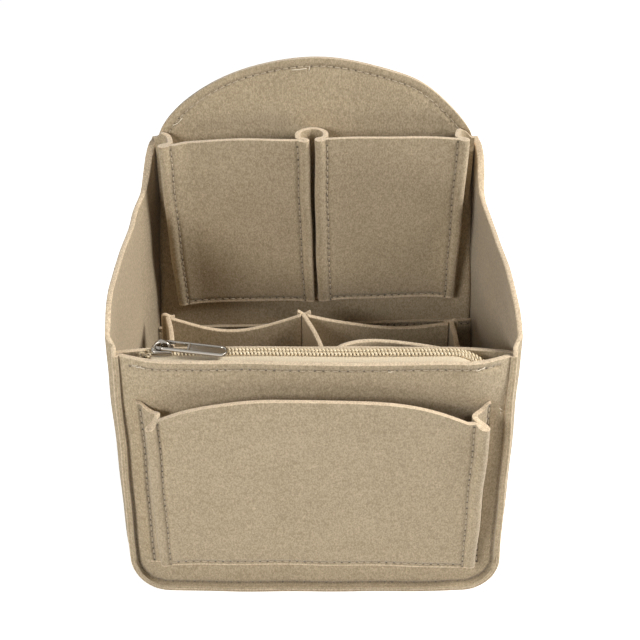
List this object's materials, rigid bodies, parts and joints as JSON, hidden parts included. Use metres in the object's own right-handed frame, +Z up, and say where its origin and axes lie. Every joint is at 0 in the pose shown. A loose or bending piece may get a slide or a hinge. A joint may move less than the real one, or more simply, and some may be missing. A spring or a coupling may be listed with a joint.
{
  "type": "felt backpack organizer",
  "caption": "Free-standing felt insert for a backpack with arched back, bellows pockets on back and front, divided cells, and a zipped front pocket.",
  "frame": {"origin": "middle of the space that the organizer fills, on the surface it stands on", "axes": "+Z up, -Y towards the front pocket, +X to the right as seen from the front"},
  "size_m": [0.2058, 0.1524, 0.2575],
  "materials": {
    "felt": "pressed taupe felt with a fine nap, paler on its cut edges",
    "zip_tape": "woven cream tape",
    "zip_coil": "cream nylon coil",
    "nickel": "polished nickel"
  },
  "bodies": {
    "bag": {"side_base_strip": "felt", "front_panel": "felt", "back_panel": "felt", "zip_pocket_rear_wall": "felt", "back_wall_facing": "felt", "front_pocket": "felt", "back_pockets": "felt", "rear_divider_left": "felt", "rear_divider_right": "felt", "left_divider": "felt", "middle_divider": "felt", "right_divider": "felt", "slip_pocket": "felt", "zip_tape_front": "zip_tape", "zip_tape_rear": "zip_tape", "zip_coil_front": "zip_coil", "zip_coil_rear": "zip_coil"},
    "slider": {"zip_slider": "nickel"},
    "pull": {"zip_pull": "nickel"}
  },
  "joints": [
    {"name": "zip_slide", "type": "slide", "parent": "bag", "child": "slider", "axis": [1, 0, 0], "range_m": [0, 0.136]},
    {"name": "pull_hinge", "type": "hinge", "parent": "slider", "child": "pull", "pos_m": [-0.0746, -0.05359, 0.1543], "axis": [-0.1045, -0.9945, 0], "range_deg": [0, 130]}
  ]
}
